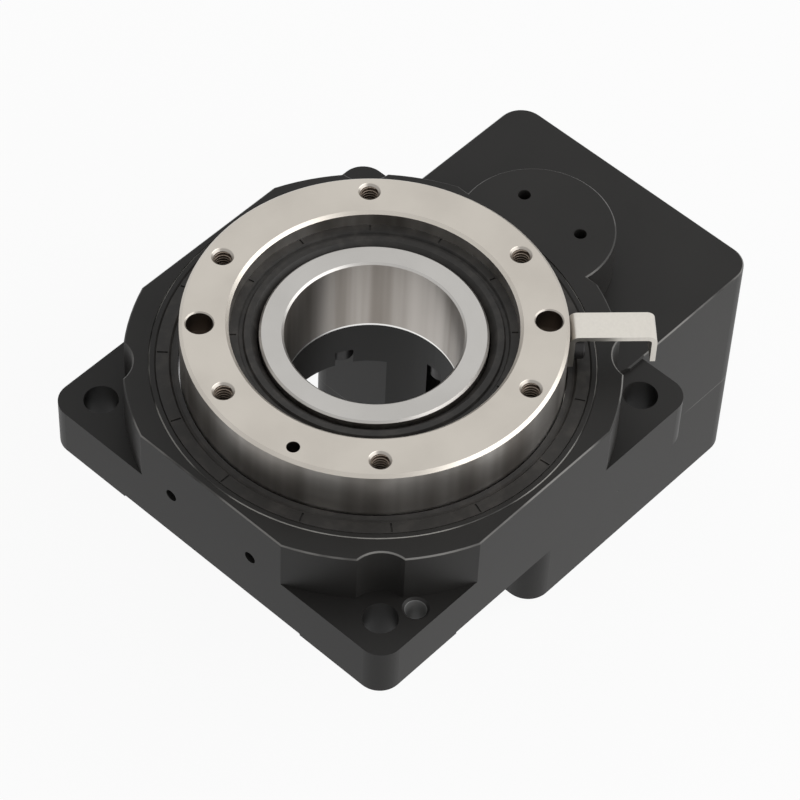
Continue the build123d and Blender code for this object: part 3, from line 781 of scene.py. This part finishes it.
@dataclass(frozen=True)
class Thread:
    """Inner threads of equal upright screw holes.

    A ridge's profile is a closed diamond of four corners: the wall, the crest, the wall one ridge on, and a
    point behind the wall. It is carried up or down a helix.
    """

    metal: RolledSteel
    wall: float = 1.65 * MM
    ridge: float = 0.28 * MM
    pitch: float = 0.7 * MM
    share: float = 0.84
    behind: float = 0.05 * MM
    thin_end: float = 0.05
    steps: int = 22
    corners: int = 4

    def points(self, centres: np.ndarray, start: float, depth: float) -> np.ndarray:
        """Points of all the ridges, hole after hole and turn by turn.

        A point is the hole's centre, plus a radius along the turn's angle, plus the height, which changes by
        one pitch for each turn. The ridge thins out over the first and the last half turn.

        Args:
            centres: n by 2 places of the holes.
            start: height of the first turn.
            depth: length of the thread, negative for a thread that runs upwards.

        Returns:
            The points, n holes by rows by corners, as one list.
        """
        turns = abs(depth) / self.pitch - 1.0
        rise = math.copysign(self.pitch, -depth)
        along = np.linspace(0.0, 2 * math.pi * turns, int(self.steps * turns) + 1)[:, None]
        angle = along * math.copysign(1.0, depth)
        thin = np.clip(np.minimum(along, along[-1] - along) / math.pi, self.thin_end, 1.0)
        radius = self.wall + np.array([0.0, -self.ridge, 0.0, self.behind])[None, :] * thin
        climb = self.share * np.array([0.0, 0.5, 1.0, 0.5])[None, :]
        height = start + rise * (along / (2 * math.pi) + climb)
        local = np.stack([radius * np.cos(angle), radius * np.sin(angle), height], axis=-1)
        shift = np.concatenate([centres, np.zeros((len(centres), 1))], axis=1)
        return (local[None] + shift[:, None, None, :]).reshape(-1, 3)

    def faces(self, rows: int, copies: int) -> np.ndarray:
        """Faces of several equal ridges: four sides for each step, and a cap at either end.

        Args:
            rows: points along one ridge.
            copies: number of ridges that follow each other.

        Returns:
            Point numbers, four for each face.
        """
        row = np.arange(rows - 1)[:, None] * self.corners
        column = np.arange(self.corners)[None, :]
        after = (column + 1) % self.corners
        further = row + self.corners
        sides = np.stack([row + column, further + column, further + after, row + after], axis=-1)
        caps = np.stack([column[0], (rows - 1) * self.corners + column[0, ::-1]])
        one = np.concatenate([sides.reshape(-1, 4), caps])
        offsets = np.arange(copies)[:, None, None] * rows * self.corners
        return (one[None] + offsets).reshape(-1, 4)

    def build(self, name: str, centres: np.ndarray, start: float, depth: float) -> bpy.types.Object:
        """Builds the ridges as one piece.

        Args:
            name: the piece's name.
            centres: n by 2 places of the holes.
            start: height of the first turn.
            depth: length of the thread, negative for a thread that runs upwards.

        Returns:
            The piece.
        """
        points = self.points(centres, start, depth)
        rows = len(points) // (self.corners * len(centres))
        return make_mesh(name, points, self.faces(rows, len(centres)), self.metal.material())


@dataclass
class Workshop:
    """Holds the frame, gives nodes their finishes and lets pieces ride on bodies."""

    frame: dict[str, Any]
    made: list[str] = field(default_factory=list)

    def dress(self, finish: Finish, *nodes: str) -> None:
        """Gives solids one finish.

        Args:
            finish: the finish.
            nodes: names of the solids.
        """
        material = finish.material()
        for name in nodes:
            mesh = self.frame["nodes"][name].data
            mesh.materials.clear()
            mesh.materials.append(material)
            LOG.info("finish %s on %s", material.name, name)

    def fit(self, piece: bpy.types.Object, body: Body, slot: Slot) -> None:
        """Lets a new piece ride on a body.

        Args:
            piece: the new piece, in its place.
            body: the body that it moves with.
            slot: not used.
        """
        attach(piece, body.value)
        self.made.append(piece.name)
        LOG.info("piece %s rides on %s", piece.name, body.value)


@dataclass
class Table:
    """The turning side: table ring, bearing rings, gear and sensor flag."""

    workshop: Workshop
    face_z: float = 33.0 * MM
    chamfer: float = 0.6 * MM
    hole_circle: float = 31.75 * MM
    hole_radius: float = 1.65 * MM
    first_hole: float = 45.0
    holes: int = 6
    pin_angle: float = 135.0
    pin_radius: float = 2.5 * MM
    mark: tuple[float, float, float] = (32.5 * MM, -163.0, 1.25 * MM)
    thread_lead: float = 0.5 * MM
    thread_depth: float = 9.4 * MM

    def screw_angles(self) -> list[float]:
        """Angles of the table's screw holes, in degrees."""
        return [self.first_hole + 360.0 * index / self.holes for index in range(self.holes)]

    def ring_finish(self) -> TurnedSteel:
        """Finish of the table ring.

        Returns:
            Ground steel with painted reflection bands on its walls and painted shade in its holes.
        """
        screws = [(self.hole_circle, angle, self.hole_radius) for angle in self.screw_angles()]
        pins = [(self.hole_circle, self.pin_angle + turn, self.pin_radius) for turn in (0.0, 180.0)]
        # Painted shade in the screw holes, the pin holes and the mark.
        bores = Bores((*screws, *pins, self.mark), self.face_z)
        # Light and dark painted reflection bands for the ring's side walls.
        light, dark_reflection = (0.76, 0.73, 0.69), (0.30, 0.275, 0.25)
        wall = Wall(self.face_z - self.chamfer, light=light, dark_reflection=dark_reflection, scale=95.0, rougher=0.0)
        return TurnedSteel("ground table steel", wall=wall, bores=bores)

    def dress(self) -> None:
        """Gives the turning parts and the bearing's outer rings their finishes."""
        bearing = TurnedSteel("ground bearing steel", (0.60, 0.60, 0.60), (0.52, 0.52, 0.52), roughness=0.24)
        gear = RolledSteel("gear steel", (0.40, 0.39, 0.38), (0.30, 0.29, 0.28))
        self.workshop.dress(self.ring_finish(), "table_ring")
        self.workshop.dress(bearing, "bearing_inner_ring", "outer_ring_lower", "outer_ring_upper")
        self.workshop.dress(gear, "ring_gear")
        self.workshop.dress(RolledSteel("rolled flag sheet"), "sensor_flag")

    def threads(self) -> None:
        """Builds the threads of the table's screw holes, downwards from its face."""
        tapped = RolledSteel("tapped thread steel", (0.34, 0.28, 0.23), (0.20, 0.16, 0.13), 0.42)
        centres = on_circle(self.hole_circle, np.array(self.screw_angles()))
        thread = Thread(tapped, self.hole_radius)
        piece = thread.build("table_threads", centres, self.face_z - self.thread_lead, self.thread_depth)
        self.workshop.fit(piece, Body.TABLE, Slot.TABLE)


@dataclass
class Base:
    """The fixed side: housing, adapter, sleeve, retainer and seals, and all dark screws and clips."""

    workshop: Workshop
    deck_z: float = 22.5 * MM
    block_z: float = 12.0 * MM
    block_start: float = 42.6 * MM
    retainer_rim: float = 40.95 * MM
    sleeve_top: float = 30.0 * MM
    sleeve_bottom: float = 12.0 * MM
    sleeve_chamfer: float = 0.4 * MM
    sleeve_lip: float = 0.85 * MM
    seam_z: float = -19.96 * MM
    seam_depth: float = 0.2 * MM
    motor_face_z: float = -42.0 * MM
    motor_x: float = 45.0 * MM
    motor_hole: float = 24.75 * MM
    motor_hole_radius: float = 1.65 * MM
    thread_lead: float = 0.4 * MM
    thread_depth: float = 11.0 * MM

    def dress(self) -> None:
        """Gives the fixed parts and the dark fasteners their finishes."""
        shop = self.workshop
        # Painted highlights along the top edges of the deck and of the block.
        edge_highlights = (EdgeHighlight(self.deck_z), EdgeHighlight(self.block_z, self.block_start))
        shop.dress(Anodised("black anodised housing", edge_highlights, Pads()), "housing")
        # Painted highlight along the adapter's edge at the seam.
        seam, face = EdgeHighlight(self.seam_z, depth=self.seam_depth), MotorFace(self.motor_x, self.motor_face_z)
        shop.dress(Anodised("black anodised adapter", (seam,), face), "motor_adapter")
        # Painted highlight along the retainer's top edge, outside the rim radius.
        rim = EdgeHighlight(self.deck_z, start_radius=self.retainer_rim)
        retainer = Anodised("black anodised retainer", (rim,), wear_and_highlight=(0.36, 0.35, 0.33), roughness=0.40)
        shop.dress(retainer, "retainer_ring")
        # Painted reflection bands on the sleeve's wall, and a painted highlight under its lip.
        wall = Wall(self.sleeve_top - self.sleeve_chamfer, self.sleeve_bottom + self.sleeve_lip)
        sleeve = TurnedSteel("turned sleeve steel", (0.465, 0.453, 0.434), (0.370, 0.357, 0.339), wall=wall)
        shop.dress(sleeve, "fixed_sleeve")
        shop.dress(Rubber("seal rubber"), "outer_seal", "inner_seal", "shaft_seal")
        shop.dress(
            BlackOxide("black oxide screws"),
            "sleeve_screws", "gear_screws", "adapter_screws", "flag_screw", "clamp_screw",
            "housing_circlip", "shaft_circlip", "pinion_shaft",
        )

    def threads(self) -> None:
        """Builds the threads of the motor's screw holes, upwards from the motor face."""
        cut = RolledSteel("tapped aluminium", (0.62, 0.61, 0.60), (0.45, 0.44, 0.43), 0.34)
        signs = np.array([[1.0, 1.0], [1.0, -1.0], [-1.0, 1.0], [-1.0, -1.0]])
        centres = signs * self.motor_hole + np.array([[self.motor_x, 0.0]])
        thread = Thread(cut, self.motor_hole_radius)
        piece = thread.build(
            "motor_threads", centres, self.motor_face_z + self.thread_lead, -self.thread_depth
        )
        self.workshop.fit(piece, Body.FRAME, Slot.ADAPTER)


@dataclass
class Drive:
    """The motor side: pinion bearings, clamp collar and rolling elements."""

    workshop: Workshop
    axis_x: float = 45.0 * MM

    def dress(self) -> None:
        """Gives the drive's parts their finishes."""
        shop = self.workshop
        race = TurnedSteel("pinion bearing steel", (0.60, 0.60, 0.60), (0.52, 0.52, 0.52), self.axis_x, 0.26)
        shop.dress(
            race,
            "upper_outer_race", "lower_outer_race", "upper_inner_race", "lower_inner_race",
            "outer_spacer", "inner_spacer",
        )
        collar = TurnedSteel("turned collar steel", (0.66, 0.60, 0.545), (0.56, 0.50, 0.45), self.axis_x)
        shop.dress(collar, "clamp_collar")
        rolling = RolledSteel("polished rolling steel", (0.70, 0.70, 0.70), (0.66, 0.66, 0.66), 0.16)
        shop.dress(rolling, "bearing_rollers", "upper_balls", "lower_balls")


@dataclass(frozen=True)
class Lamp:
    """One soft square lamp that faces the object."""

    name: str
    place: Place
    side: float
    watts: float
    aim: Place = (0.015, 0.0, 0.0)

    def hang(self) -> None:
        """Puts the lamp into the scene."""
        data = bpy.data.lights.new(self.name, "AREA")
        data.size = self.side
        data.energy = self.watts
        made = bpy.data.objects.new(self.name, data)
        spot = Vector(self.place)
        made.location = spot
        made.rotation_euler = (Vector(self.aim) - spot).to_track_quat("-Z", "Y").to_euler()
        bpy.context.scene.collection.objects.link(made)


@dataclass
class Studio:
    """A pale floor, soft lights and the camera at the photograph's viewing angle."""

    lamps: tuple[Lamp, ...] = (
        Lamp("overhead", (0.47, 0.42, 0.84), side=0.90, watts=0.30),
        Lamp("right", (0.52, -0.92, 0.44), side=1.50, watts=14.0),
    )
    room_grey: float = 0.55
    floor_z: float = -42.3 * MM
    floor_reach: float = 6.0
    floor_grey: float = 0.78
    floor_shown: float = 0.92
    azimuth: float = -49.201
    elevation: float = 51.178
    roll: float = 2.805
    distance: float = 673.35 * MM
    focal_pixels: float = 1489.025
    shift_pixels: tuple[float, float] = (-12.355, 14.227)
    enlargement: float = 2.4
    image_pixels: float = 800.0
    sensor_width: float = 36.0
    clip_start: float = 0.01
    clip_end: float = 20.0

    def axes(self) -> tuple[Vector, Vector, Vector]:
        """Works out the camera's right, up and backward directions.

        Returns:
            The three directions, after the roll.
        """
        azimuth, elevation, roll = (math.radians(a) for a in (self.azimuth, self.elevation, self.roll))
        flat = math.cos(elevation)
        back = Vector((math.sin(azimuth) * flat, -math.cos(azimuth) * flat, math.sin(elevation)))
        level = Vector((math.cos(azimuth), math.sin(azimuth), 0.0))
        upright = back.cross(level)
        right = level * math.cos(roll) + upright * math.sin(roll)
        up = upright * math.cos(roll) - level * math.sin(roll)
        return right, up, back

    def camera(self) -> None:
        """Places the camera."""
        right, up, back = self.axes()
        aside, above = (p * self.distance / self.focal_pixels for p in self.shift_pixels)
        place = back * self.distance - right * aside + up * above
        data = bpy.data.cameras.new("camera")
        data.sensor_width = self.sensor_width
        data.lens = self.focal_pixels * self.enlargement * self.sensor_width / self.image_pixels
        data.clip_start = self.clip_start
        data.clip_end = self.clip_end
        made = bpy.data.objects.new("camera", data)
        turned = Matrix((right, up, back)).transposed().to_4x4()
        made.matrix_world = Matrix.Translation(place) @ turned
        bpy.context.scene.collection.objects.link(made)
        bpy.context.scene.camera = made

    def lights(self) -> None:
        """Adds the lamps and the room's even light, which is white to the eye and in reflections."""
        for lamp in self.lamps:
            lamp.hang()
        world = bpy.data.worlds.new("room")
        bpy.context.scene.world = world
        recipe = Recipe(world)
        room = recipe.node("ShaderNodeBackground", inputs={"Color": (self.room_grey,) * 3})
        white = recipe.node("ShaderNodeBackground", inputs={"Color": WHITE})
        recipe.close(recipe.blend(recipe.shown(1.0), room, white))

    def floor(self) -> None:
        """Lays the floor: pale and matt, and nearly white to the eye while it keeps a soft shadow."""
        recipe = Recipe.named("pale floor")
        matt = recipe.node("ShaderNodeBsdfDiffuse", inputs={"Color": (self.floor_grey,) * 3})
        white = recipe.node("ShaderNodeEmission", inputs={"Color": WHITE, "Strength": 1.0})
        recipe.close(recipe.blend(recipe.shown(self.floor_shown), matt, white))
        corners = np.array([[-1.0, -1.0], [1.0, -1.0], [1.0, 1.0], [-1.0, 1.0]]) * self.floor_reach
        points = np.concatenate([corners, np.full((4, 1), self.floor_z)], axis=1)
        make_mesh("floor", points, np.arange(4)[None, :], recipe.holder)

    def build(self) -> None:
        """Sets up floor, lights, camera and the plain view settings."""
        self.floor()
        self.lights()
        self.camera()
        bpy.context.scene.view_settings.view_transform = "Standard"
        LOG.info("studio ready")


def main() -> None:
    """Loads the solids, dresses each sub-assembly and sets up the studio."""
    logging.basicConfig(level=logging.INFO, format="%(name)s: %(message)s")
    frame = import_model()
    workshop = Workshop(frame)
    base = Base(workshop)
    base.dress()
    base.threads()
    Drive(workshop).dress()
    table = Table(workshop)
    table.dress()
    table.threads()
    Studio().build()
    LOG.info("pieces: %s", ", ".join(workshop.made))


if __name__ == "__main__":
    main()
